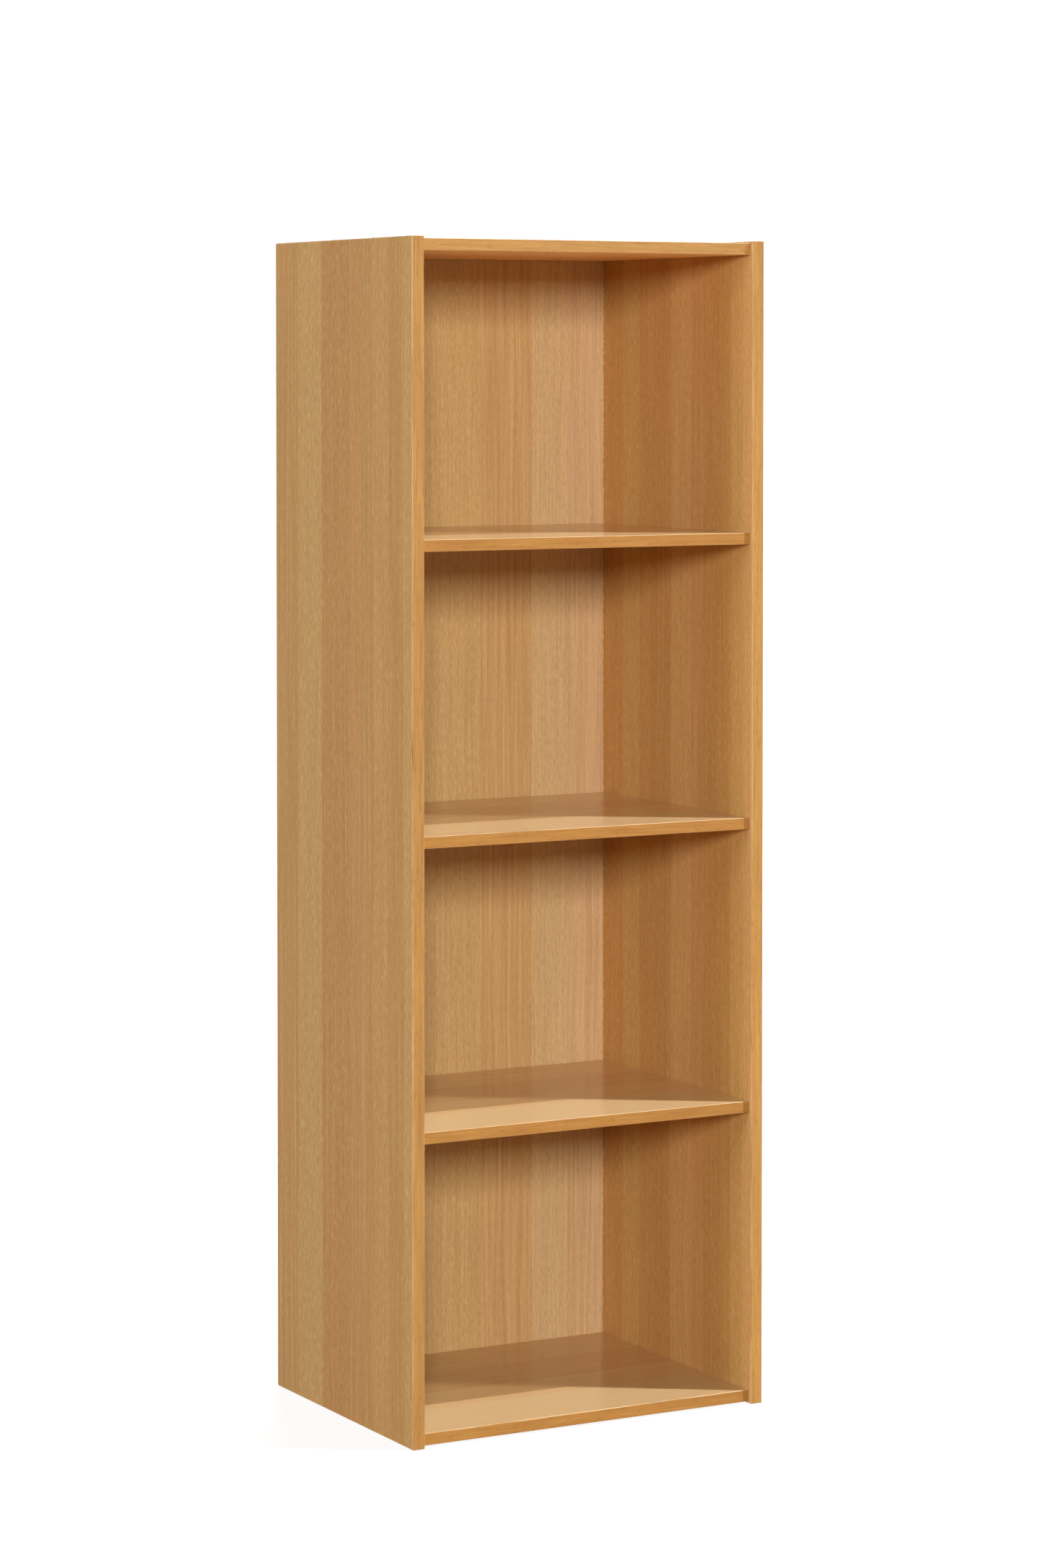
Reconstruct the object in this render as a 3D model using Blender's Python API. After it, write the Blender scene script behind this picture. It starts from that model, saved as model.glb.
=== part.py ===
# Narrow open bookcase: two sides, a top and a bottom joined by dowels and cam fittings, a nailed-on thin
# back, and three shelves that slide off concealed wire supports.
# Metres. +X to the right, +Y to the back, +Z up, origin on the floor under the middle of the bookcase.

import math

import bmesh
import bpy
from mathutils import Matrix, Vector

# Overall sizes
HEIGHT = 1.200
WIDTH = 0.406
DEPTH = 0.310

# Boards
SIDE_THICKNESS = 0.013
BOARD_THICKNESS = 0.012
BACK_THICKNESS = 0.003
TOP_LIP = 0.002
BOTTOM_LIP = 0.002
FRONT_SETBACK = 0.005
ARRIS = 0.0003

# Front edge bands
BAND_THICKNESS = 0.001
BAND_ROUND = 0.0006
BAND_ROUND_STEPS = 3

# Back panel in its rebate
BACK_INSET = 0.0005
REBATE_WIDTH = 0.0065

# Clear heights of the lowest and the highest bay; the shelves between them are evenly spaced
BOTTOM_BAY = 0.288
TOP_BAY = 0.285
SHELF_NAMES = ("lower", "middle", "upper")
SHELF_END_CLEARANCE = 0.0005
SHELF_REAR_CLEARANCE = 0.001

# Wire supports
WIRE_RADIUS = 0.0015
WIRE_BEND = 0.003
WIRE_BEND_STEPS = 4
WIRE_SETBACK = 0.038
WIRE_OFFSET = 0.0032
GROOVE_DEPTH = 0.0055
GROOVE_RUN_OUT = 0.005

# Corner fittings
FITTING_SETBACK = 0.045
DOWEL_SPACING = 0.032
CAM_SETBACK = 0.024
CAM_RADIUS = 0.00585
CAM_SKIN = 0.002
CAM_SIDES = 16
SLOT_WIDTH = 0.0012
SLOT_LENGTH = 0.0080
CAM_WEB = 0.0006
BOLT_THREAD_RADIUS = 0.0025
BOLT_ROOT_RADIUS = 0.0021
BOLT_SHAFT_RADIUS = 0.0023
BOLT_NECK_RADIUS = 0.0017
BOLT_NECK_LENGTH = 0.0046
BOLT_HEAD_RADIUS = 0.0031
BOLT_RIDGES = 3
BOLT_SIDES = 12
RIDGE_RISE = 0.45  # share of the thread's pitch over which a ridge rises
RIDGE_FALL = 0.15  # and over which it falls
CROWN_RADIUS = 0.6  # the head's domed end, as shares of its radius
CROWN_RIM = 0.5
CROWN_TOP = 0.4
DOWEL_RADIUS = 0.003
DOWEL_LENGTH = 0.026
DOWEL_CHAMFER = 0.0008
DOWEL_SIDES = 14
SIDE_SKIN = 0.003

# Back nails
NAIL_LENGTH = 0.018
NAIL_RADIUS = 0.0007
NAIL_HEAD_RADIUS = 0.0016
NAIL_HEAD_THICKNESS = 0.0006
NAIL_POINT = 0.002
NAIL_SIDES = 8
NAILS_PER_SIDE = 5
NAILS_PER_END = 2
NAIL_END_SETBACK = 0.060

# Clearances
GAP = 0.0003
OVERCUT = 0.001

# Edges that turn by more than this are shaded sharp
SHARP_ANGLE = math.radians(35)

# Planes that the pieces share
INNER = WIDTH / 2 - SIDE_THICKNESS
FRONT = -DEPTH / 2
REAR = DEPTH / 2
SIDE_FRONT = FRONT + BAND_THICKNESS + GAP
SET_FRONT = FRONT + FRONT_SETBACK
BOARD_FRONT = SET_FRONT + BAND_THICKNESS + GAP
BACK_REAR = REAR - BACK_INSET
BACK_FRONT = BACK_REAR - BACK_THICKNESS
BOARD_REAR = BACK_FRONT - GAP
SHELF_REAR = BACK_FRONT - SHELF_REAR_CLEARANCE
BOARD_END = INNER - GAP
SHELF_END = INNER - SHELF_END_CLEARANCE
BOTTOM_UNDERSIDE = BOTTOM_LIP
BOTTOM_TOP = BOTTOM_UNDERSIDE + BOARD_THICKNESS
TOP_SURFACE = HEIGHT - TOP_LIP
TOP_UNDERSIDE = TOP_SURFACE - BOARD_THICKNESS
BOLT_BORE = BOLT_HEAD_RADIUS + GAP
BOLT_REACH = CAM_SETBACK + BOLT_HEAD_RADIUS
BLIND_DEPTH = SIDE_THICKNESS - SIDE_SKIN
SIDES = (("left", -1), ("right", 1))

FINISHES = {
    "side_board": ((0.479, 0.270, 0.112), 0.42, 0.0),
    "shelf_board": ((0.520, 0.292, 0.120), 0.40, 0.0),
    "back_board": ((0.540, 0.315, 0.145), 0.48, 0.0),
    "edge_band": ((0.600, 0.320, 0.100), 0.36, 0.0),
    "steel": ((0.560, 0.570, 0.580), 0.30, 1.0),
    "zinc": ((0.620, 0.620, 0.610), 0.38, 1.0),
    "dowel_wood": ((0.680, 0.500, 0.290), 0.60, 0.0),
}


def finish(name):
    """The Principled material of one finish, made once."""
    if name in bpy.data.materials:
        return bpy.data.materials[name]
    colour, roughness, metallic = FINISHES[name]
    material = bpy.data.materials.new(name)
    material.use_nodes = True
    shader = material.node_tree.nodes["Principled BSDF"]
    shader.inputs["Base Color"].default_value = (*colour, 1.0)
    shader.inputs["Roughness"].default_value = roughness
    shader.inputs["Metallic"].default_value = metallic
    return material


def place(name, data, finish_name, location=(0, 0, 0), rotation=(0, 0, 0), parent=None):
    """An object of its own for one piece, in the scene and in its finish."""
    piece = bpy.data.objects.new(name, data)
    bpy.context.scene.collection.objects.link(piece)
    piece.location = location
    piece.rotation_euler = rotation
    piece.parent = parent
    piece.data.materials.clear()
    piece.data.materials.append(finish(finish_name))
    return piece


def mesh_of(name, shape):
    """The mesh that a bmesh holds, with the bmesh freed."""
    bmesh.ops.recalc_face_normals(shape, faces=shape.faces[:])
    mesh = bpy.data.meshes.new(name)
    shape.to_mesh(mesh)
    shape.free()
    return mesh


def add_block(shape, low, high):
    """A rectangular block between two opposite corners; its edges are returned."""
    low = Vector(low)
    high = Vector(high)
    place_it = Matrix.Translation((low + high) / 2) @ Matrix.Diagonal((*(high - low), 1.0))
    made = bmesh.ops.create_cube(shape, size=1.0, matrix=place_it)
    return list({edge for corner in made["verts"] for edge in corner.link_edges})


def add_rod(shape, start, end, radius, sides):
    """A round rod from start to end."""
    start = Vector(start)
    end = Vector(end)
    along = end - start
    turn = along.to_track_quat("Z", "Y").to_matrix().to_4x4()
    bmesh.ops.create_cone(
        shape,
        cap_ends=True,
        segments=sides,
        radius1=radius,
        radius2=radius,
        depth=along.length,
        matrix=Matrix.Translation((start + end) / 2) @ turn,
    )


def eased(shape, edges, radius, steps=1):
    """Takes the sharpness off the given edges."""
    bmesh.ops.bevel(
        shape,
        geom=edges,
        offset=radius,
        segments=steps,
        profile=0.5,
        affect="EDGES",
    )


def board(name, low, high, finish_name, parent=None):
    """A rectangular board, eased on every edge but the two long ones that its edge band meets."""
    low = Vector(low)
    high = Vector(high)
    centre = (low + high) / 2
    shape = bmesh.new()
    edges = add_block(shape, low - centre, high - centre)
    front = low.y - centre.y
    on_front = [e for e in edges if all(abs(v.co.y - front) < ARRIS for v in e.verts)]
    eased(shape, [e for e in edges if e not in on_front], ARRIS)
    return place(name, mesh_of(name, shape), finish_name, centre, parent=parent)


def edge_band(name, low, high, parent=None, offset=(0, 0, 0)):
    """A strip on a front edge, rounded along the four edges of its front face."""
    low = Vector(low)
    high = Vector(high)
    centre = (low + high) / 2
    shape = bmesh.new()
    edges = add_block(shape, low - centre, high - centre)
    front = low.y - centre.y
    on_front = [e for e in edges if all(abs(v.co.y - front) < ARRIS for v in e.verts)]
    eased(shape, on_front, BAND_ROUND, BAND_ROUND_STEPS)
    mesh = mesh_of(name, shape)
    mesh.shade_smooth()
    mesh.set_sharp_from_angle(angle=SHARP_ANGLE)
    return place(name, mesh, "edge_band", centre - Vector(offset), parent=parent)


def cut(piece, tool):
    """Cuts the bmesh tool, drawn where it stands, out of piece with a live Boolean; returns the cutter."""
    cutter = bpy.data.objects.new(piece.name + "_cutter", mesh_of(piece.name + "_cutter", tool))
    bpy.context.scene.collection.objects.link(cutter)
    cutter.hide_render = True
    cutter.display_type = "WIRE"
    boolean = piece.modifiers.new("bores", "BOOLEAN")
    boolean.operation = "DIFFERENCE"
    boolean.solver = "EXACT"
    boolean.object = cutter
    return cutter


def carved(name, solid, blocks):
    """One mesh that several objects share: the bmesh solid with rectangular blocks cut out of it."""
    blank = bpy.data.objects.new(name, mesh_of(name + "_blank", solid))
    bpy.context.scene.collection.objects.link(blank)
    spare = [blank]
    for low, high in blocks:
        tool = bmesh.new()
        add_block(tool, low, high)
        spare.append(cut(blank, tool))
    bpy.context.view_layer.update()
    seen = blank.evaluated_get(bpy.context.evaluated_depsgraph_get())
    mesh = bpy.data.meshes.new_from_object(seen)
    mesh.name = name
    for helper in spare:
        bpy.data.objects.remove(helper, do_unlink=True)
    return mesh


def turned(name, profile, sides):
    """A solid turned about Z from (radius, height) points that start and end on the axis."""
    shape = bmesh.new()
    corners = [shape.verts.new((radius, 0.0, height)) for radius, height in profile]
    edges = [shape.edges.new(pair) for pair in zip(corners, corners[1:])]
    bmesh.ops.spin(
        shape,
        geom=corners + edges,
        cent=(0, 0, 0),
        axis=(0, 0, 1),
        angle=2 * math.pi,
        steps=sides,
        use_merge=True,
    )
    bmesh.ops.remove_doubles(shape, verts=shape.verts[:], dist=1e-6)
    mesh = mesh_of(name, shape)
    mesh.shade_smooth()
    mesh.set_sharp_from_angle(angle=SHARP_ANGLE)
    return mesh


def evenly(low, high, count):
    """count values from low to high, both ends included."""
    return [low + (high - low) * step / (count - 1) for step in range(count)]


def shelf_undersides():
    """The height of each shelf's underside, lowest first."""
    lowest = BOTTOM_TOP + BOTTOM_BAY
    highest = TOP_UNDERSIDE - TOP_BAY - BOARD_THICKNESS
    return evenly(lowest, highest, len(SHELF_NAMES))


def wire_ends():
    """How far forward and back the two legs of each wire support stand."""
    return BOARD_FRONT + WIRE_SETBACK, SHELF_REAR - WIRE_SETBACK


def fitting_rows():
    """(y of the cam bolt, y of the dowel beside it) at the front and at the rear of a corner joint."""
    bolt_front = BOARD_FRONT + FITTING_SETBACK
    bolt_rear = BOARD_REAR - FITTING_SETBACK
    return (bolt_front, bolt_front + DOWEL_SPACING), (bolt_rear, bolt_rear - DOWEL_SPACING)


def end_boards():
    """(name, height of its middle, direction of the face that its cams are let into)."""
    half = BOARD_THICKNESS / 2
    return ("top", TOP_UNDERSIDE + half, 1), ("bottom", BOTTOM_UNDERSIDE + half, -1)


def nail_spots():
    """(name, x, z) of each nail that holds the back panel."""
    spots = []
    edge_x = INNER + REBATE_WIDTH / 2
    heights = evenly(NAIL_END_SETBACK, HEIGHT - NAIL_END_SETBACK, NAILS_PER_SIDE)
    for side, sign in SIDES:
        for number, z in enumerate(heights, 1):
            spots.append((f"back_nail_{side}_{number}", sign * edge_x, z))
    inner_width = 2 * INNER
    for end, z, _ in end_boards():
        for number in range(NAILS_PER_END):
            x = -INNER + inner_width * (number + 0.5) / NAILS_PER_END
            spots.append((f"back_nail_{end}_{number + 1}", x, z))
    return spots


def side_panel(side, sign, carcass):
    """One side, rebated for the back panel and bored for its bolts, dowels, wires and nails."""
    faces = sorted((sign * INNER, sign * (INNER + SIDE_THICKNESS)))
    low = (faces[0], SIDE_FRONT, 0.0)
    high = (faces[1], REAR, HEIGHT)
    panel = board(f"{side}_side_panel", low, high, "side_board", carcass)
    rebate = sorted((sign * (INNER - OVERCUT), sign * (INNER + REBATE_WIDTH)))
    rebate_front = BACK_FRONT - GAP
    rebate_tool = bmesh.new()
    rebate_high = (rebate[1], REAR + OVERCUT, HEIGHT + OVERCUT)
    add_block(rebate_tool, (rebate[0], rebate_front, -OVERCUT), rebate_high)
    cut(panel, rebate_tool)
    tool = bmesh.new()
    mouth = sign * (INNER - OVERCUT)
    bottom = sign * (INNER + BLIND_DEPTH)
    for _, z, _ in end_boards():
        for bolt_y, dowel_y in fitting_rows():
            bolt_radius = BOLT_THREAD_RADIUS + GAP
            add_rod(tool, (mouth, bolt_y, z), (bottom, bolt_y, z), bolt_radius, BOLT_SIDES)
            dowel_radius = DOWEL_RADIUS + GAP
            add_rod(tool, (mouth, dowel_y, z), (bottom, dowel_y, z), dowel_radius, DOWEL_SIDES)
    for underside in shelf_undersides():
        z = underside + BOARD_THICKNESS / 2
        for y in wire_ends():
            add_rod(tool, (mouth, y, z), (bottom, y, z), WIRE_RADIUS + GAP, NAIL_SIDES)
    nail_end = BACK_REAR - NAIL_LENGTH - GAP
    for name, x, z in nail_spots():
        if name.startswith(f"back_nail_{side}"):
            add_rod(tool, (x, BACK_FRONT, z), (x, nail_end, z), NAIL_RADIUS + GAP, NAIL_SIDES)
    cut(panel, tool)
    band_low = (faces[0], FRONT, 0.0)
    band_high = (faces[1], FRONT + BAND_THICKNESS, HEIGHT)
    edge_band(f"{side}_side_edge_band", band_low, band_high, carcass)


def end_panel(end, middle, facing, carcass):
    """The top or the bottom board, bored for its cams, bolts, dowels and nails."""
    half = BOARD_THICKNESS / 2
    low = (-BOARD_END, BOARD_FRONT, middle - half)
    high = (BOARD_END, BOARD_REAR, middle + half)
    panel = board(f"{end}_panel", low, high, "shelf_board", carcass)
    tool = bmesh.new()
    face = middle + facing * half
    for _, sign in SIDES:
        mouth = sign * (INNER + OVERCUT)
        cam_x = sign * (INNER - CAM_SETBACK)
        dowel_bottom = sign * (INNER - (DOWEL_LENGTH - BLIND_DEPTH) - GAP)
        for bolt_y, dowel_y in fitting_rows():
            cam_mouth = (cam_x, bolt_y, face + facing * OVERCUT)
            cam_bottom = (cam_x, bolt_y, face - facing * (BOARD_THICKNESS - CAM_SKIN))
            cam_tool = bmesh.new()
            add_rod(cam_tool, cam_mouth, cam_bottom, CAM_RADIUS + GAP, CAM_SIDES)
            cut(panel, cam_tool)
            bore_end = (sign * (INNER - BOLT_REACH - GAP), bolt_y, middle)
            add_rod(tool, (mouth, bolt_y, middle), bore_end, BOLT_BORE, BOLT_SIDES)
            dowel_radius = DOWEL_RADIUS + GAP
            dowel_end = (dowel_bottom, dowel_y, middle)
            add_rod(tool, (mouth, dowel_y, middle), dowel_end, dowel_radius, DOWEL_SIDES)
    nail_end = BACK_REAR - NAIL_LENGTH - GAP
    for name, x, z in nail_spots():
        if name.startswith(f"back_nail_{end}"):
            add_rod(tool, (x, BACK_FRONT, z), (x, nail_end, z), NAIL_RADIUS + GAP, NAIL_SIDES)
    cut(panel, tool)
    band_low = (low[0], SET_FRONT, low[2])
    band_high = (high[0], SET_FRONT + BAND_THICKNESS, high[2])
    edge_band(f"{end}_edge_band", band_low, band_high, carcass)


def back_panel(carcass):
    """The thin back, with a counterbored hole for each nail."""
    low = (-(INNER + REBATE_WIDTH - GAP), BACK_FRONT, BOTTOM_UNDERSIDE)
    high = (INNER + REBATE_WIDTH - GAP, BACK_REAR, TOP_SURFACE)
    panel = board("back_panel", low, high, "back_board", carcass)
    shanks = bmesh.new()
    heads = bmesh.new()
    head_bottom = BACK_REAR - NAIL_HEAD_THICKNESS - 2 * GAP
    for _, x, z in nail_spots():
        through = (x, BACK_FRONT - OVERCUT, z), (x, BACK_REAR + OVERCUT, z)
        add_rod(shanks, *through, NAIL_RADIUS + GAP, NAIL_SIDES)
        pocket = (x, head_bottom, z), (x, BACK_REAR + OVERCUT, z)
        add_rod(heads, *pocket, NAIL_HEAD_RADIUS + GAP, NAIL_SIDES)
    cut(panel, shanks)
    cut(panel, heads)


def nails(carcass):
    """The nails, heads sunk flush into the back panel."""
    shank = NAIL_RADIUS
    neck = NAIL_LENGTH - NAIL_HEAD_THICKNESS
    profile = [
        (0.0, 0.0),
        (shank, NAIL_POINT),
        (shank, neck),
        (NAIL_HEAD_RADIUS, neck),
        (NAIL_HEAD_RADIUS, NAIL_LENGTH),
        (0.0, NAIL_LENGTH),
    ]
    mesh = turned("back_nail", profile, NAIL_SIDES)
    tip_y = BACK_REAR - NAIL_LENGTH
    for name, x, z in nail_spots():
        place(name, mesh, "steel", (x, tip_y, z), (-math.pi / 2, 0, 0), carcass)


def bolt_profile():
    """A cam bolt along Z: ridged thread up to the side's face at height 0, shaft, neck and head."""
    thread = BLIND_DEPTH - GAP
    head_bottom = CAM_SETBACK - BOLT_HEAD_RADIUS / 2
    neck_bottom = head_bottom - BOLT_NECK_LENGTH
    pitch = thread / (BOLT_RIDGES + 1)
    points = [(0.0, -thread), (BOLT_ROOT_RADIUS, -thread)]
    for ridge in range(BOLT_RIDGES):
        crest = -thread + pitch * (ridge + 1)
        points.append((BOLT_ROOT_RADIUS, crest - pitch * RIDGE_RISE))
        points.append((BOLT_THREAD_RADIUS, crest))
        points.append((BOLT_ROOT_RADIUS, crest + pitch * RIDGE_FALL))
    points.append((BOLT_ROOT_RADIUS, 0.0))
    points.append((BOLT_SHAFT_RADIUS, BOLT_SHAFT_RADIUS))
    points.append((BOLT_SHAFT_RADIUS, neck_bottom))
    points.append((BOLT_NECK_RADIUS, neck_bottom))
    points.append((BOLT_NECK_RADIUS, head_bottom))
    points.append((BOLT_HEAD_RADIUS, head_bottom))
    points.append((BOLT_HEAD_RADIUS, CAM_SETBACK))
    points.append((BOLT_HEAD_RADIUS * CROWN_RADIUS, BOLT_REACH - BOLT_HEAD_RADIUS * CROWN_RIM))
    points.append((0.0, BOLT_REACH - BOLT_HEAD_RADIUS * CROWN_TOP))
    return points


def cam_mesh():
    """A cam let into a face at height 0: a cross slot, and claws round a bolt that comes in along -X."""
    bottom = -(BOARD_THICKNESS - CAM_SKIN - GAP)
    solid = bmesh.new()
    add_rod(solid, (0, 0, bottom), (0, 0, -GAP), CAM_RADIUS, CAM_SIDES)
    head = BOLT_HEAD_RADIUS + GAP
    neck = BOLT_NECK_RADIUS + GAP
    entry = head - GAP / 2
    roof = head - BOARD_THICKNESS / 2
    beyond = CAM_RADIUS + OVERCUT
    floor = bottom - OVERCUT
    slot_floor = roof + CAM_WEB
    wide = SLOT_WIDTH / 2
    long = SLOT_LENGTH / 2
    blocks = [
        ((-head, -head, floor), (head, head, roof)),
        ((0, -neck, floor), (beyond, neck, roof - GAP / 2)),
        ((-entry, 0, floor), (entry, beyond, roof - GAP)),
        ((-long, -wide, slot_floor), (long, wide, OVERCUT)),
        ((-wide, -long, slot_floor), (wide, long, OVERCUT)),
    ]
    mesh = carved("cam_lock", solid, blocks)
    mesh.shade_smooth()
    mesh.set_sharp_from_angle(angle=SHARP_ANGLE)
    return mesh


def corner_fittings(carcass):
    """The cam, bolt and dowel pairs that draw the sides against the top and the bottom."""
    cam = cam_mesh()
    bolt = turned("cam_bolt", bolt_profile(), BOLT_SIDES)
    half = DOWEL_LENGTH / 2
    dowel_profile = [
        (0.0, -half),
        (DOWEL_RADIUS - DOWEL_CHAMFER, -half),
        (DOWEL_RADIUS, -half + DOWEL_CHAMFER),
        (DOWEL_RADIUS, half - DOWEL_CHAMFER),
        (DOWEL_RADIUS - DOWEL_CHAMFER, half),
        (0.0, half),
    ]
    dowel = turned("dowel", dowel_profile, DOWEL_SIDES)
    dowel_middle = INNER + BLIND_DEPTH - GAP / 2 - half
    for end, middle, facing in end_boards():
        face = middle + facing * BOARD_THICKNESS / 2
        for side, sign in SIDES:
            for row, (bolt_y, dowel_y) in zip(("front", "rear"), fitting_rows()):
                where = f"{end}_{side}_{row}"
                tip = 0 if facing > 0 else math.pi
                turn = (tip, 0, 0 if sign > 0 else math.pi)
                cam_place = (sign * (INNER - CAM_SETBACK), bolt_y, face)
                place(f"cam_lock_{where}", cam, "zinc", cam_place, turn, carcass)
                bolt_turn = (0, -sign * math.pi / 2, 0)
                bolt_place = (sign * INNER, bolt_y, middle)
                place(f"cam_bolt_{where}", bolt, "steel", bolt_place, bolt_turn, carcass)
                dowel_place = (sign * dowel_middle, dowel_y, middle)
                dowel_turn = (0, math.pi / 2, 0)
                place(f"dowel_{where}", dowel, "dowel_wood", dowel_place, dowel_turn, carcass)


def wire_curve():
    """A wire support lying along Y: a leg at each end turns through a bend towards +X."""
    front, rear = wire_ends()
    half = (rear - front) / 2
    leg = WIRE_OFFSET + BLIND_DEPTH - GAP
    path = [Vector((leg, -half, 0.0))]
    for step in range(WIRE_BEND_STEPS + 1):
        angle = math.pi / 2 * step / WIRE_BEND_STEPS
        x = WIRE_BEND * (1 - math.sin(angle))
        y = -half + WIRE_BEND * (1 - math.cos(angle))
        path.append(Vector((x, y, 0.0)))
    path.extend([Vector((point.x, -point.y, 0.0)) for point in reversed(path)])
    curve = bpy.data.curves.new("shelf_wire", "CURVE")
    curve.dimensions = "3D"
    curve.bevel_depth = WIRE_RADIUS
    curve.bevel_resolution = 2
    curve.use_fill_caps = True
    spline = curve.splines.new("POLY")
    spline.points.add(len(path) - 1)
    for point, spot in zip(spline.points, path):
        point.co = (*spot, 1.0)
    return curve


def shelf(name, underside):
    """One shelf with a stopped groove in each end that slides onto its wires, and its edge band."""
    low = (-SHELF_END, BOARD_FRONT, underside)
    high = (SHELF_END, SHELF_REAR, underside + BOARD_THICKNESS)
    plank = board(f"{name}_shelf", low, high, "shelf_board")
    middle = underside + BOARD_THICKNESS / 2
    room = WIRE_RADIUS + GAP
    groove_front = wire_ends()[0] - WIRE_RADIUS - GROOVE_RUN_OUT
    tool = bmesh.new()
    for _, sign in SIDES:
        across = sorted((sign * (SHELF_END - GROOVE_DEPTH), sign * (SHELF_END + OVERCUT)))
        groove_low = (across[0], groove_front, middle - room)
        add_block(tool, groove_low, (across[1], SHELF_REAR + OVERCUT, middle + room))
    cut(plank, tool)
    band_low = (low[0], SET_FRONT, low[2])
    band_high = (high[0], SET_FRONT + BAND_THICKNESS, high[2])
    edge_band(f"{name}_shelf_edge_band", band_low, band_high, plank, plank.location)


def shelves(carcass):
    """The three shelves and the pair of wires that carries each one."""
    wire = wire_curve()
    front, rear = wire_ends()
    for name, underside in zip(SHELF_NAMES, shelf_undersides()):
        shelf(name, underside)
        for side, sign in SIDES:
            x = sign * (INNER - WIRE_OFFSET)
            spot = (x, (front + rear) / 2, underside + BOARD_THICKNESS / 2)
            turn = (0, 0, 0 if sign > 0 else math.pi)
            place(f"{name}_shelf_wire_{side}", wire, "steel", spot, turn, carcass)


def build():
    for old in list(bpy.data.objects):
        bpy.data.objects.remove(old, do_unlink=True)
    carcass = bpy.data.objects.new("carcass", None)
    bpy.context.scene.collection.objects.link(carcass)
    for side, sign in SIDES:
        side_panel(side, sign, carcass)
    for end, middle, facing in end_boards():
        end_panel(end, middle, facing, carcass)
    back_panel(carcass)
    nails(carcass)
    corner_fittings(carcass)
    shelves(carcass)


build()
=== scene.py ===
import math
import bpy
import bmesh
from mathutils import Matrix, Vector


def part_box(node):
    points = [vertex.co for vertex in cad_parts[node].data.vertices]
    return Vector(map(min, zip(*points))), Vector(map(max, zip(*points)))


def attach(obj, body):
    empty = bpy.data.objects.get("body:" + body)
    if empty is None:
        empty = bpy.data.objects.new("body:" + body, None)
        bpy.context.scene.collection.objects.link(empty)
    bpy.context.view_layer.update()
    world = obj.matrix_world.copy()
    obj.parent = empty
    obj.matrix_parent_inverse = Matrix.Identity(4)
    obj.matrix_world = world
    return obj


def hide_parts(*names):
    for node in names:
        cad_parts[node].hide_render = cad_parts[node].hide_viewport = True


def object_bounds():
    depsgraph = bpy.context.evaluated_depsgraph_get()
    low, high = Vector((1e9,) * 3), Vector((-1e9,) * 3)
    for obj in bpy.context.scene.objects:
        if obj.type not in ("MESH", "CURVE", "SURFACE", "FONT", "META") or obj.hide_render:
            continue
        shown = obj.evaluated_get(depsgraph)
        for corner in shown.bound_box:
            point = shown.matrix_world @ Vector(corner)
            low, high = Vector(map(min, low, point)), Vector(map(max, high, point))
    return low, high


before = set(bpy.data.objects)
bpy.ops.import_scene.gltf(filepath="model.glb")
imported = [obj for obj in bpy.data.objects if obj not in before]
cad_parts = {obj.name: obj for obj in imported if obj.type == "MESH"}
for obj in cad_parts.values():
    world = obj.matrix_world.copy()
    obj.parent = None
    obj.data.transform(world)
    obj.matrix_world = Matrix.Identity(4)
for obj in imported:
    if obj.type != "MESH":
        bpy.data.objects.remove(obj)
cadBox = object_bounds()
print("frame loaded,", len(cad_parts), "parts")

axisNumber = {"X": 0, "Y": 1, "Z": 2}


class Wire:
    # a socket that can be added, multiplied and so on, which lays down the Math nodes
    def __init__(self, finish, socket):
        self.finish = finish
        self.socket = socket

    def maths(self, operation, *values):
        return self.finish.node("ShaderNodeMath", {"operation": operation}, dict(enumerate(values)))

    def __add__(self, other):
        return self.maths("ADD", self, other)

    def __sub__(self, other):
        return self.maths("SUBTRACT", self, other)

    def __mul__(self, other):
        return self.maths("MULTIPLY", self, other)

    def __truediv__(self, other):
        return self.maths("DIVIDE", self, other)

    def __radd__(self, other):
        return self.maths("ADD", other, self)

    def __rsub__(self, other):
        return self.maths("SUBTRACT", other, self)

    def __rmul__(self, other):
        return self.maths("MULTIPLY", other, self)

    def __abs__(self):
        return self.maths("ABSOLUTE", self)

    def least(self, other):
        return self.maths("MINIMUM", self, other)

    def wave(self, pitch):
        # a sine wave that repeats each pitch metres
        return (self * (2 * math.pi / pitch)).sine()

    def sine(self):
        return self.maths("SINE", self)

    def over(self, low, high):
        # 0 below low and 1 above high; high may be the smaller of the two
        return self.finish.node("ShaderNodeMapRange", {}, {0: self, 1: low, 2: high})

    def beside(self, name):
        # another output of the same node
        return Wire(self.finish, self.socket.node.outputs[name])


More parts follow.
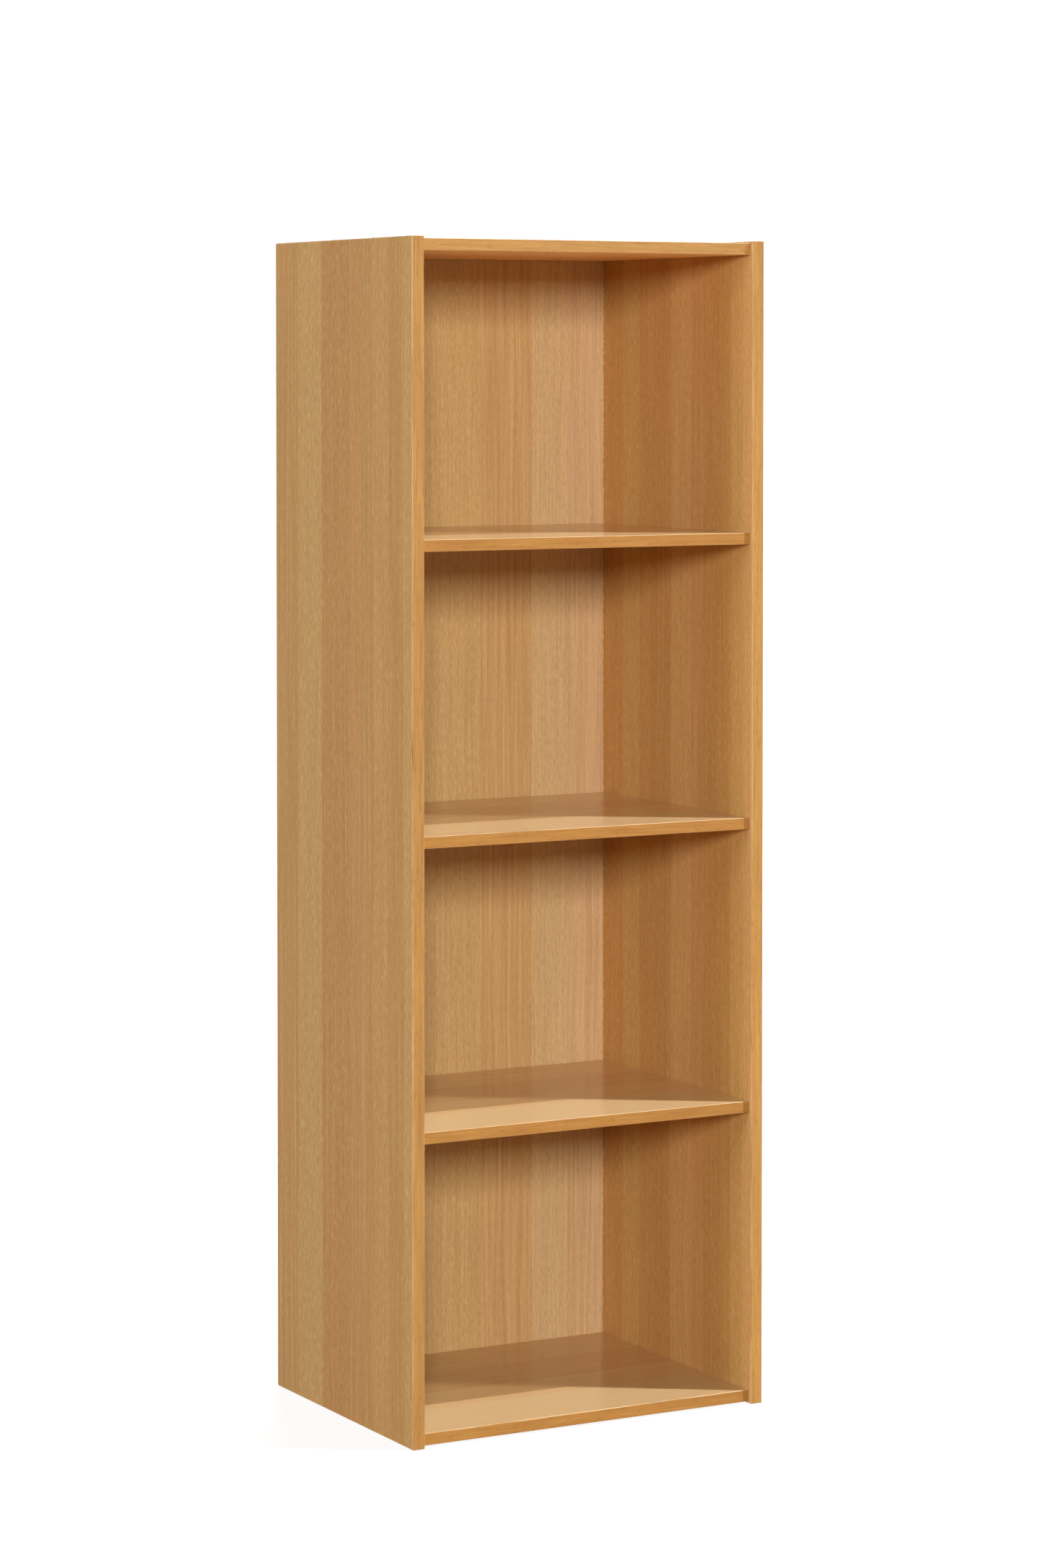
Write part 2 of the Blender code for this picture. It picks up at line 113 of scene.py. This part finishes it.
class Finish:
    # one material and the ways to lay nodes in it; the constants stand on its shader's own sockets
    def __init__(self, name, **constants):
        self.material = bpy.data.materials.new(name)
        self.material.use_nodes = True
        self.tree = self.material.node_tree
        self.shader = self.tree.nodes["Principled BSDF"]
        for socket, value in constants.items():
            self.shader.inputs[socket.replace("_", " ")].default_value = value

    def node(self, kind, settings=None, sockets=None, out=0):
        made = self.tree.nodes.new(kind)
        for name, value in (settings or {}).items():
            if name == "stops":
                self.setStops(made.color_ramp, value)
            else:
                setattr(made, name, value)
        for name, value in (sockets or {}).items():
            self.feed(made.inputs[name], value)
        return Wire(self, made.outputs[out])

    def setStops(self, ramp, stops):
        ramp.interpolation = stops["blend"]
        while len(ramp.elements) < len(stops["places"]):
            ramp.elements.new(1.0)
        for element, place, colour in zip(ramp.elements, stops["places"], stops["colours"]):
            element.position = place
            element.color = colour

    def feed(self, socket, value):
        if isinstance(value, Wire):
            self.tree.links.new(value.socket, socket)
        elif isinstance(value, tuple) and len(socket.default_value) == 4 and len(value) == 3:
            socket.default_value = (*value, 1.0)
        else:
            socket.default_value = value

    def mix(self, share, first, second):
        sockets = {0: share, 6: first, 7: second}
        return self.node("ShaderNodeMix", {"data_type": "RGBA"}, sockets, out=2)

    def scaled(self, vector, factor):
        return self.node("ShaderNodeVectorMath", {"operation": "SCALE"}, {0: vector, "Scale": factor})

    def times(self, vector, other):
        return self.node("ShaderNodeVectorMath", {"operation": "MULTIPLY"}, {0: vector, 1: other})

    def joined(self, x, y, z):
        return self.node("ShaderNodeCombineXYZ", {}, {0: x, 1: y, 2: z})

    def noise(self, place, scale, detail=2.0, rough=0.5, twist=0.0):
        # scale is how tightly the pattern repeats along each axis of the place, per metre
        sockets = {"Vector": self.times(place, scale), "Scale": 1.0, "Detail": detail}
        return self.node("ShaderNodeTexNoise", {}, {**sockets, "Roughness": rough, "Distortion": twist})

    def cells(self, place, size):
        place = self.times(place, (1 / size, 1 / size, 1 / size))
        return self.node("ShaderNodeTexVoronoi", {}, {"Vector": place, "Scale": 1.0})

    def bump(self, height, depth):
        return self.node("ShaderNodeBump", {}, {"Height": height, "Distance": depth, "Strength": 1.0})

    def wear(self, **links):
        for name, value in links.items():
            self.feed(self.shader.inputs[name.replace("_", " ")], value)
        return self.material


def tint(red, green, blue):
    # 0 to 255 screen values as the shader's own
    return tuple(((c / 255 + 0.055) / 1.055) ** 2.4 if c > 10 else c / 3294 for c in (red, green, blue))


beech = {
    # colour of each printed board, and how strongly its growth lines show
    "tones": {
        "pale": (*tint(199, 161, 107), 0.10),
        "tan": (*tint(200, 155, 99), 0.35),
        "olive": (*tint(193, 152, 92), 0.20),
        "brown": (*tint(189, 141, 83), 0.45),
        "russet": (*tint(196, 146, 93), 0.70),
        "amber": (*tint(193, 149, 91), 0.90),
        "rose": (*tint(198, 157, 107), 0.75),
    },
    "lightLine": tint(236, 198, 146),
    "darkLine": tint(154, 98, 48),
    "fleck": tint(142, 92, 46),
    "rosy": (1.03, 0.98, 0.97),
    "green": (0.97, 1.02, 0.97),
    # light colour of the arrises: partly bare rubbed wear, partly a painted highlight
    "bareArris": tint(232, 200, 158),
    "speck": tint(240, 232, 220),
    "speckCell": 0.075,     # one cell in twenty of this size holds a speck of dust
    "speckSize": 0.0007,
    # how tightly each pattern repeats across the grain, along it and through the board, per metre
    "swayScale": (5.0, 5.0, 5.0),
    "cloudScale": (9, 1.4, 9),
    "hueScale": (30, 1.1, 14),
    "lineScale": (250, 3.2, 40),
    "threadScale": (520, 9, 90),
    "fleckScale": (820, 125, 80),
    "rubScale": (150, 14, 150),
    # how strongly each one shows; a pair is for a board without growth lines and what full ones add
    "sway": 0.006,
    "cloudShare": 0.08,
    "hueShare": 0.3,
    "darkLineShare": (0.03, 0.17),
    "lightLineShare": (0.03, 0.13),
    "threadShare": 0.36,
    "fleckShare": (0.22, -0.10),
    "rubShare": 0.85,
}

# widths of the printed boards and their tones, from the front edge back or from the left to the right
sideBoards = {
    "left": [(0.018, "pale"), (0.034, "amber"), (0.031, "tan"), (0.029, "amber"), (0.026, "russet"),
             (0.037, "brown"), (0.026, "brown"), (0.055, "pale"), (0.054, "amber")],
    "right": [(0.018, "tan"), (0.022, "olive"), (0.055, "brown"), (0.024, "russet"), (0.043, "tan"),
              (0.040, "brown"), (0.025, "brown"), (0.035, "olive"), (0.035, "brown"), (0.013, "brown")],
}
backBoards = [(0.052, "tan"), (0.041, "russet"), (0.064, "pale"), (0.076, "olive"),
              (0.062, "amber"), (0.045, "pale"), (0.018, "rose"), (0.048, "rose")]
shelfBoards = [(0.085, "pale"), (0.060, "tan"), (0.075, "russet"), (0.085, "tan")]


def grainPlace(finish, grain, across, shift):
    # texture place as (across the grain, along it, through the board)
    place = finish.node("ShaderNodeTexCoord", out="Object")
    through = ({"X", "Y", "Z"} - {grain, across}).pop()
    axes = finish.node("ShaderNodeSeparateXYZ", {}, {0: place})
    sway = (finish.noise(place, beech["swayScale"], detail=1.0) - 0.5) * beech["sway"]
    return finish.joined(axes.beside(across) + shift + sway, axes.beside(grain) + shift, axes.beside(through))


def boardRamp(finish, axis, start, boards):
    # the colour of the printed board at each place across the panel
    whole = sum(width for width, tone in boards)
    places = [sum(width for width, tone in boards[:k]) / whole for k in range(len(boards))]
    colours = [beech["tones"][tone] for width, tone in boards]
    stops = {"blend": "CONSTANT", "places": places, "colours": colours}
    share = (axis - start) / whole
    return finish.node("ShaderNodeValToRGB", {"stops": stops}, {0: share})


def beechPrint(finish, boards, place, look):
    # growth lines, short flecks and slow changes of hue, laid over the boards' colour
    lined = boards.beside("Alpha")
    colour = finish.times(boards, look["cast"])
    cloud = finish.noise(place, beech["cloudScale"])
    hue = finish.noise(place, beech["hueScale"])
    lines = finish.noise(place, beech["lineScale"], rough=0.6)
    threads = finish.noise(place, beech["threadScale"], rough=0.6)
    flecks = finish.noise(place, beech["fleckScale"], detail=1.0)
    rosy = finish.times(colour, beech["rosy"])
    colour = finish.mix(hue.over(0.52, 0.74) * beech["hueShare"], colour, rosy)
    green = finish.times(colour, beech["green"])
    colour = finish.mix(hue.over(0.48, 0.28) * beech["hueShare"], colour, green)
    least, more = beech["darkLineShare"]
    darkLines = lines.over(0.50, 0.70) * (least + lined * more) * look["lines"]
    least, more = beech["lightLineShare"]
    lightLines = lines.over(0.50, 0.30) * (least + lined * more) * look["lines"]
    colour = finish.mix(darkLines, colour, beech["darkLine"])
    colour = finish.mix(lightLines, colour, beech["lightLine"])
    least, more = beech["fleckShare"]
    fleckShare = (least + lined * more) * look["flecks"]
    darkFlecks = flecks.over(0.53, 0.66) * fleckShare
    lightFlecks = flecks.over(0.47, 0.34) * fleckShare
    colour = finish.mix(darkFlecks, colour, beech["fleck"])
    colour = finish.mix(lightFlecks, colour, beech["lightLine"])
    level = 1.0 + (cloud - 0.5) * beech["cloudShare"]
    level = level + (threads - 0.5) * (beech["threadShare"] * look["lines"])
    height = (threads - 0.5) * (0.5 * look["flecks"]) + (lightFlecks - darkFlecks)
    return finish.scaled(colour, level), height


def dustSpecks(finish, place, colour):
    # a few pale specks, each well under a millimetre
    spots = finish.cells(place, beech["speckCell"])
    chance = finish.node("ShaderNodeSeparateColor", {}, {0: spots.beside("Color")})
    size = beech["speckSize"] / beech["speckCell"]
    spot = spots.over(size, size * 0.6) * chance.over(0.95, 0.96)
    return finish.mix(spot, colour, beech["speck"])


def rubbedAndHighlit(finish, grained):
    # where an arris is painted light along its length, partly rubbed wear and partly a painted highlight: long
    # stretches with short gaps
    return finish.noise(grained, beech["rubScale"], detail=3.0).over(0.30, 0.55)


def arrisDistance(axes, low, high, names):
    # how far a place is from the nearest long edge of the panel's face
    nearest = None
    for name in names:
        k = axisNumber[name]
        gap = (axes.beside(name) - low[k]).least(high[k] - axes.beside(name))
        nearest = gap if nearest is None else nearest.least(gap)
    return nearest


chipboard = {
    "flake": tint(198, 164, 120),
    "dust": tint(162, 124, 82),
    "bark": tint(88, 60, 38),
    "flakeSize": 0.0022,
    "dustScale": (900, 900, 900),
}


def chipboardEdge(finish, place):
    # the sawn edge of the board: flakes, sawdust and specks of bark
    flakes = finish.cells(place, chipboard["flakeSize"])
    shade = finish.noise(place, chipboard["dustScale"], detail=3.0, rough=0.7)
    pick = finish.node("ShaderNodeSeparateColor", {}, {0: flakes.beside("Color")})
    colour = finish.mix(pick, chipboard["flake"], chipboard["dust"])
    colour = finish.mix(pick.beside("Green").over(0.86, 0.90), colour, chipboard["bark"])
    colour = finish.scaled(colour, 0.75 + shade * 0.5)
    height = shade - flakes.over(0.0, 0.9) * 0.5
    return colour, height


boardLook = {
    "sheen": 0.10,          # how much the pores roughen the gloss
    "arrisWidth": 0.0012,
    "sawnRough": 0.85,
}


def boardFinish(name, node, grain, across, face, boards, look):
    # face is the axis that the printed faces look along; the other faces show the sawn edge
    finish = Finish(name, Specular_IOR_Level=look["gloss"])
    low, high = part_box(node)
    place = finish.node("ShaderNodeTexCoord", out="Object")
    axes = finish.node("ShaderNodeSeparateXYZ", {}, {0: place})
    tones = boardRamp(finish, axes.beside(across), low[axisNumber[across]], boards)
    grained = grainPlace(finish, grain, across, look["shift"])
    colour, height = beechPrint(finish, tones, grained, look)
    colour = dustSpecks(finish, place, colour)
    arris = arrisDistance(axes, low, high, (grain, across)).over(boardLook["arrisWidth"], 0.0)
    # arrises lightened in long stretches: partly rubbed wear, partly a painted highlight
    colour = finish.mix(arris * rubbedAndHighlit(finish, grained) * beech["rubShare"], colour, beech["bareArris"])
    sawn, sawnHeight = chipboardEdge(finish, place)
    facing = finish.node("ShaderNodeSeparateXYZ", {}, {0: place.beside("Normal")})
    upper = facing.beside(face).over(-0.5, 0.5)
    # painted shade: the face towards +X or +Z is scaled by upper to stand in for how the light falls on the
    # two faces
    colour = finish.scaled(colour, 1.0 + upper * (look["upper"] - 1.0))
    printed = abs(facing.beside(face)).over(0.55, 0.65)
    sawnRough = boardLook["sawnRough"]
    rough = sawnRough + printed * (look["rough"] - sawnRough) - height * boardLook["sheen"]
    bump = finish.bump(sawnHeight * (1.0 - printed) * look["sawn"] + height, look["relief"])
    return finish.wear(Base_Color=finish.mix(printed, sawn, colour), Roughness=rough, Normal=bump)


bandLook = {
    "colour": tint(180, 131, 68),
    "deep": tint(146, 98, 46),
    "light": tint(208, 164, 100),
    # arris is the edging's arris colour: partly rubbed wear, partly a painted highlight
    "arris": tint(236, 200, 148),
    "chip": tint(72, 44, 26),
    "gloss": 0.30,
    "rough": 0.38,
    "relief": 0.00008,
    "cloudScale": (30, 5, 30),
    "lineScale": (420, 16, 60),
    "dashScale": (620, 95, 60),
    "chipScale": (300, 110, 300),
    "cloudShare": 0.22,
    "deepShare": 0.45,
    "lightShare": 0.35,
    "dashShare": 0.40,
    "dashRough": 0.14,
    "rubShare": 0.45,
}


def bandFinish(name, grain, shift, cast):
    # thin orange-toned edging with short dashes along its length; its two arrises are painted light, partly
    # rubbed wear and partly a painted highlight
    finish = Finish(name, Specular_IOR_Level=bandLook["gloss"])
    place = grainPlace(finish, grain, "X" if grain == "Z" else "Z", shift)
    cloud = finish.noise(place, bandLook["cloudScale"])
    lines = finish.noise(place, bandLook["lineScale"], rough=0.6)
    dashes = finish.noise(place, bandLook["dashScale"], detail=1.0)
    deepLines = lines.over(0.52, 0.74) * bandLook["deepShare"]
    colour = finish.mix(deepLines, bandLook["colour"], bandLook["deep"])
    colour = finish.mix(lines.over(0.48, 0.26) * bandLook["lightShare"], colour, bandLook["light"])
    colour = finish.mix(dashes.over(0.58, 0.70) * bandLook["dashShare"], colour, bandLook["deep"])
    colour = finish.scaled(finish.times(colour, cast), 1.0 + (cloud - 0.5) * bandLook["cloudShare"])
    facing = finish.node("ShaderNodeTexCoord", out="Normal")
    axes = finish.node("ShaderNodeSeparateXYZ", {}, {0: facing})
    turned = abs(axes.beside("Y")).over(0.98, 0.80)
    # the rounded arrises lightened in stretches: partly rubbed wear, partly a painted highlight
    colour = finish.mix(turned * rubbedAndHighlit(finish, place) * bandLook["rubShare"], colour, bandLook["arris"])
    chips = finish.noise(place, bandLook["chipScale"]).over(0.73, 0.76)
    colour = finish.mix(turned * chips, colour, bandLook["chip"])
    bump = finish.bump(lines - dashes * 0.6 - chips, bandLook["relief"])
    rough = bandLook["rough"] + dashes * bandLook["dashRough"]
    return finish.wear(Base_Color=colour, Roughness=rough, Normal=bump)


hardboard = {
    "lines": 1.25,
    "flecks": 0.8,
    "cast": (0.99, 1.07, 1.23),
    "colour": tint(126, 92, 62),
    "fibre": tint(166, 130, 94),
    "stain": tint(104, 72, 46),
    "gap": tint(92, 56, 28),
    "seam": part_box("right_side_panel")[0].x,    # where the back meets the side's inner face
    "seamWidth": 0.0006,
    "seamScale": (60, 60, 330),
    "screenPitch": 0.0018,
    "fibreScale": (420, 420, 420),
    "stainScale": (7, 7, 4),
    "seamShare": 0.8,
    "screenShare": 0.10,
    "stainShare": 0.55,
    "shift": 0.37,
    "gloss": 0.25,
    "rough": 0.80,
    "polish": 0.34,         # how much less rough the printed face is
    "relief": 0.00009,
}


def backFinish(name, node):
    # printed beech on the face that looks into the bays, bare pressed fibre with a screen pattern behind
    finish = Finish(name, Specular_IOR_Level=hardboard["gloss"])
    place = finish.node("ShaderNodeTexCoord", out="Object")
    axes = finish.node("ShaderNodeSeparateXYZ", {}, {0: place})
    tones = boardRamp(finish, axes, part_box(node)[0].x, backBoards)
    colour, height = beechPrint(finish, tones, grainPlace(finish, "Z", "X", hardboard["shift"]), hardboard)
    colour = dustSpecks(finish, place, colour)
    ragged = finish.noise(place, hardboard["seamScale"], detail=1.0).over(0.45, 0.52)
    # painted shade: a thin ragged dark line where the back meets the side's inner face, standing for the shade
    # in the gap at that joint
    seam = abs(axes).over(hardboard["seam"] - hardboard["seamWidth"], hardboard["seam"]) * ragged
    colour = finish.mix(seam * hardboard["seamShare"], colour, hardboard["gap"])
    fibres = finish.noise(place, hardboard["fibreScale"], detail=4.0, rough=0.7, twist=1.5)
    weave = axes.wave(hardboard["screenPitch"]) * axes.beside("Z").wave(hardboard["screenPitch"])
    bare = finish.mix(fibres.over(0.35, 0.70), hardboard["colour"], hardboard["fibre"])
    stains = finish.noise(place, hardboard["stainScale"], detail=5.0, rough=0.65)
    bare = finish.mix(stains.over(0.42, 0.72) * hardboard["stainShare"], bare, hardboard["stain"])
    bare = finish.scaled(bare, 1.0 + weave * hardboard["screenShare"])
    facing = finish.node("ShaderNodeSeparateXYZ", {}, {0: place.beside("Normal")})
    printed = facing.beside("Y").over(-0.55, -0.65)
    rough = hardboard["rough"] - printed * hardboard["polish"]
    pressed = (weave * 0.6 + fibres) * (1.0 - printed) * 1.5
    bump = finish.bump(height * printed + pressed, hardboard["relief"])
    return finish.wear(Base_Color=finish.mix(printed, bare, colour), Roughness=rough, Normal=bump)


metals = {
    # scratches is how many run across a metre
    "cast zinc": {
        "bright": tint(176, 176, 172),
        "dull": tint(140, 140, 138),
        "rough": 0.42,
        "scratches": 700,
    },
    "steel": {
        "bright": tint(188, 188, 186),
        "dull": tint(150, 148, 144),
        "rough": 0.26,
        "scratches": 1400,
    },
    "nail": {
        "bright": tint(150, 150, 150),
        "dull": tint(96, 88, 80),
        "rough": 0.40,
        "scratches": 1400,
    },
}
metalRelief = 0.00003
patchScale = (260, 260, 260)


def metalFinish(name):
    # plated or drawn metal: fine scratches and a slow change of gloss
    finish = Finish(name, Metallic=1.0)
    look = metals[name]
    fine = look["scratches"]
    place = finish.node("ShaderNodeTexCoord", out="Object")
    scratches = finish.noise(place, (fine, fine * 0.15, fine), detail=3.0, rough=0.7)
    patches = finish.noise(place, patchScale, detail=3.0)
    shade = finish.mix(patches.over(0.45, 0.70) * 0.6, look["bright"], look["dull"])
    gloss = look["rough"] + patches * 0.16 + (scratches - 0.5) * 0.20
    return finish.wear(Base_Color=shade, Roughness=gloss, Normal=finish.bump(scratches, metalRelief))


dowelLook = {
    "pale": tint(214, 178, 132),
    "dark": tint(186, 144, 96),
    "pore": tint(126, 86, 50),
    "lineScale": (90, 900, 900),
    "poreScale": (260, 1500, 1500),
    "relief": 0.0001,
}


def dowelFinish(name):
    # pale turned beech with dark pores along its length
    finish = Finish(name, Specular_IOR_Level=0.35)
    place = finish.node("ShaderNodeTexCoord", out="Object")
    lines = finish.noise(place, dowelLook["lineScale"], detail=3.0, rough=0.6)
    pores = finish.noise(place, dowelLook["poreScale"], detail=1.0).over(0.60, 0.70)
    colour = finish.mix(lines.over(0.35, 0.70), dowelLook["pale"], dowelLook["dark"])
    colour = finish.mix(pores * 0.5, colour, dowelLook["pore"])
    bump = finish.bump(lines - pores, dowelLook["relief"])
    return finish.wear(Base_Color=colour, Roughness=0.62 + lines * 0.2, Normal=bump)


bandShape = {
    "round": 0.0006,
    "roundSteps": 4,
    "glueGap": 0.00002,
    "sharpAngle": math.radians(40),
}


def makeBand(node, body, material):
    # the edging strip with its two long front arrises scraped round, set tight against its board
    low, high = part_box(node)
    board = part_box(node.replace("_edge_band", "") if "shelf" in node else node.replace("edge_band", "panel"))
    rear = board[0].y - bandShape["glueGap"]
    mesh = bmesh.new()
    corners = [Vector((x, y, z)) for z in (low.z, high.z) for y in (low.y, rear) for x in (low.x, high.x)]
    points = [mesh.verts.new(corner) for corner in corners]
    for face in ((0, 2, 3, 1), (4, 5, 7, 6), (0, 1, 5, 4), (2, 6, 7, 3), (0, 4, 6, 2), (1, 3, 7, 5)):
        mesh.faces.new([points[k] for k in face])
    fore = [edge for edge in mesh.edges if all(abs(point.co.y - low.y) < 1e-6 for point in edge.verts)]
    bmesh.ops.bevel(mesh, geom=fore, offset=bandShape["round"], segments=bandShape["roundSteps"],
                    affect="EDGES", profile=0.5)
    data = bpy.data.meshes.new(node + "_strip")
    mesh.to_mesh(data)
    mesh.free()
    for face in data.polygons:
        face.use_smooth = True
    band = bpy.data.objects.new(node + "_strip", data)
    bpy.context.scene.collection.objects.link(band)
    even = band.modifiers.new("even shading", "WEIGHTED_NORMAL")
    even.keep_sharp = True
    data.set_sharp_from_angle(angle=bandShape["sharpAngle"])
    data.materials.append(material)
    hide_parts(node)
    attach(band, body)


def dress(node, material):
    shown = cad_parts[node]
    shown.data.materials.clear()
    shown.data.materials.append(material)


# relief is the depth of the printed pores in metres and sawn how much deeper the cut edges are,
# lines and flecks are how strongly those show, shift moves the pattern along, cast tints it,
# upper is painted shade: how bright the face towards +X or +Z is painted beside the other one
panelLooks = {
    "left": {
        "gloss": 0.18, "rough": 0.44, "relief": 0.00006, "sawn": 4.0,
        "lines": 1.0, "flecks": 1.0, "shift": 0.11, "cast": (0.82, 0.77, 0.54), "upper": 1.0,
    },
    "right": {
        "gloss": 0.18, "rough": 0.44, "relief": 0.00006, "sawn": 4.0,
        "lines": 0.9, "flecks": 0.9, "shift": 1.73, "cast": (1.01, 1.00, 0.93), "upper": 0.86,
    },
    "shelf": {
        "gloss": 0.50, "rough": 0.18, "relief": 0.00001, "sawn": 24.0,
        "lines": 0.7, "flecks": 0.10, "shift": 3.10, "cast": (1.00, 1.04, 1.12), "upper": 1.0,
    },
}

# what the top and the bottom have of their own
ownLooks = {
    "bottom_panel": {"cast": (0.89, 0.91, 0.96)},
    # the top's cast is painted light that brightens its underside, and upper paints its upper face darker
    # again
    "top_panel": {"cast": (1.42, 1.46, 1.58), "upper": 0.55, "gloss": 0.18, "rough": 0.44},
}
levelBoards = ("bottom_panel", "lower_shelf", "middle_shelf", "upper_shelf", "top_panel")
boardStep = 0.83    # how much further along the pattern is on each level board than on the one below

# the edging's tints and how far along its pattern is
bandLooks = {
    "left": {"shift": 0.4, "cast": (0.77, 0.76, 0.69)},
    "right": {"shift": 2.1, "cast": (0.89, 0.89, 0.80)},
    "level": {"shift": 5.3, "cast": (0.76, 0.68, 0.51)},
    "top": {"shift": 5.3, "cast": (0.86, 0.87, 0.86)},
}
bandStep = 1.31     # the same for the level strips

for side in ("left", "right"):
    node = side + "_side_panel"
    printed = boardFinish("beech " + side + " side", node, "Z", "Y", "X", sideBoards[side], panelLooks[side])
    dress(node, printed)
    edging = bandFinish("edging " + side + " side", "Z", **bandLooks[side])
    makeBand(side + "_side_edge_band", "carcass", edging)
for k, board in enumerate(levelBoards):
    look = {**panelLooks["shelf"], **ownLooks.get(board, {})}
    look["shift"] += k * boardStep
    dress(board, boardFinish("beech " + board, board, "X", "Y", "Z", shelfBoards, look))
    strip = bandLooks["top" if board == "top_panel" else "level"]
    edging = bandFinish("edging " + board, "X", strip["shift"] + k * bandStep, strip["cast"])
    node = board.replace("_panel", "") + "_edge_band"
    makeBand(node, board + "_body" if "shelf" in board else "carcass", edging)
dress("back_panel", backFinish("beech back", "back_panel"))
loose = {name: metalFinish(name) for name in metals}
loose["dowel beech"] = dowelFinish("dowel beech")

# the start of a node's name and what its pieces are made of
fittings = {
    "cam_lock": "cast zinc",
    "cam_bolt": "steel",
    "back_nail": "nail",
    "dowel": "dowel beech",
    "lower_shelf_wire": "steel",
    "middle_shelf_wire": "steel",
    "upper_shelf_wire": "steel",
}
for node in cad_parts:
    for start, stuff in fittings.items():
        if node.startswith(start):
            dress(node, loose[stuff])
print("finishes made:", len(bpy.data.materials))


studio = {
    "floorSize": 60.0,
    "floorGap": 0.0005,     # between the floor and the bookcase's lowest edges
    "floorColour": tint(228, 226, 222),
    "floorShare": 0.20,     # how much of the floor's brightness is lit, the rest glows
    "floorGlow": 0.86,
    "mottleScale": (3.0, 3.0, 3.0),
    "roomGlow": 1.10,       # the white room that the gloss reflects
}

# suns shine from a direction, panels stand at a place and look at the bookcase
lights = {
    "high light": {
        "from": (1.0, -0.67, 1.89),
        "spread": 1.0,
        "power": 3.5,
        "colour": (0.70, 0.78, 1.0),
    },
    "low light": {
        "from": (1.0, -0.67, 0.80),
        "spread": 5.0,
        "power": 2.4,
        "colour": (0.78, 0.90, 1.0),
    },
    "soft ceiling": {
        "from": (0.0, 0.0, 1.0),
        "spread": 180.0,
        "power": 0.5,
        "colour": (1.0, 1.0, 1.0),
    },
    "floor bounce": {
        "from": (-0.12, -0.45, -1.0),
        "spread": 90.0,
        "power": 1.45,
        "colour": (1.0, 0.53, 0.25),
    },
    "front panel": {
        "place": (-2.72, -5.35, 2.00),
        "size": 0.95,
        "power": 300.0,
        "colour": (1.0, 1.0, 1.0),
    },
    "left panel": {
        "place": (-8.00, -0.75, 2.20),
        "size": 1.70,
        "power": 225.0,
        "colour": (1.0, 1.0, 1.0),
    },
    "rear panel": {
        "place": (2.60, 4.60, 2.20),
        "size": 2.00,
        "power": 150.0,
        "colour": (1.0, 1.0, 1.0),
    },
}


def makeFloor():
    mesh = bmesh.new()
    bmesh.ops.create_grid(mesh, x_segments=24, y_segments=24, size=studio["floorSize"] / 2)
    data = bpy.data.meshes.new("floor")
    mesh.to_mesh(data)
    mesh.free()
    floor = bpy.data.objects.new("floor", data)
    floor.location.z = cadBox[0].z - studio["floorGap"]
    bpy.context.scene.collection.objects.link(floor)
    finish = Finish("pale floor", Specular_IOR_Level=0.1, Emission_Strength=studio["floorGlow"])
    place = finish.node("ShaderNodeTexCoord", out="Object")
    mottle = finish.noise(place, studio["mottleScale"], detail=4.0)
    shade = finish.scaled(studio["floorColour"], 0.97 + mottle * 0.06)
    finish.feed(finish.shader.inputs["Emission Color"], (1.0, 1.0, 1.0))
    shade = finish.scaled(shade, studio["floorShare"])
    data.materials.append(finish.wear(Base_Color=shade, Roughness=0.7 + mottle * 0.1))
    floor.visible_diffuse = False     # what the floor sends back up is the floor bounce light
    floor.visible_shadow = False


def makeLight(name, look):
    light = bpy.data.lights.new(name, "AREA" if "place" in look else "SUN")
    light.energy = look["power"]
    light.color = look["colour"]
    shown = bpy.data.objects.new(name, light)
    if "place" in look:
        light.size = look["size"]
        shown.location = look["place"]
        towards = shown.location - (cadBox[0] + cadBox[1]) / 2
    else:
        light.angle = math.radians(look["spread"])
        towards = Vector(look["from"])
    shown.rotation_euler = towards.to_track_quat("Z", "Y").to_euler()
    bpy.context.scene.collection.objects.link(shown)


def makeWorld():
    world = bpy.data.worlds.new("white room")
    world.use_nodes = True
    background = world.node_tree.nodes["Background"]
    background.inputs["Color"].default_value = (1.0, 1.0, 1.0, 1.0)
    background.inputs["Strength"].default_value = studio["roomGlow"]
    world.cycles_visibility.diffuse = False     # the panels light the bookcase, the room only shows
    bpy.context.scene.world = world


cameraLook = {
    "place": (-2.1190, -3.8577, 1.0704),
    "turn": 28.83,      # degrees to the right of straight ahead
    "dip": 1.9125,      # degrees below level
    "lens": 97.543,
    "rise": -0.175,     # lens shift that keeps the uprights where they stand
}


def makeCamera():
    camera = bpy.data.cameras.new("camera")
    camera.lens = cameraLook["lens"]
    camera.sensor_width = 36.0
    camera.shift_y = cameraLook["rise"]
    camera.clip_end = 200.0
    shown = bpy.data.objects.new("camera", camera)
    shown.location = cameraLook["place"]
    shown.rotation_euler = (math.radians(90 - cameraLook["dip"]), 0.0, math.radians(-cameraLook["turn"]))
    bpy.context.scene.collection.objects.link(shown)
    bpy.context.scene.camera = shown


makeFloor()
for name, look in lights.items():
    makeLight(name, look)
makeWorld()
makeCamera()
bpy.context.scene.view_settings.view_transform = "Standard"
print("studio ready")
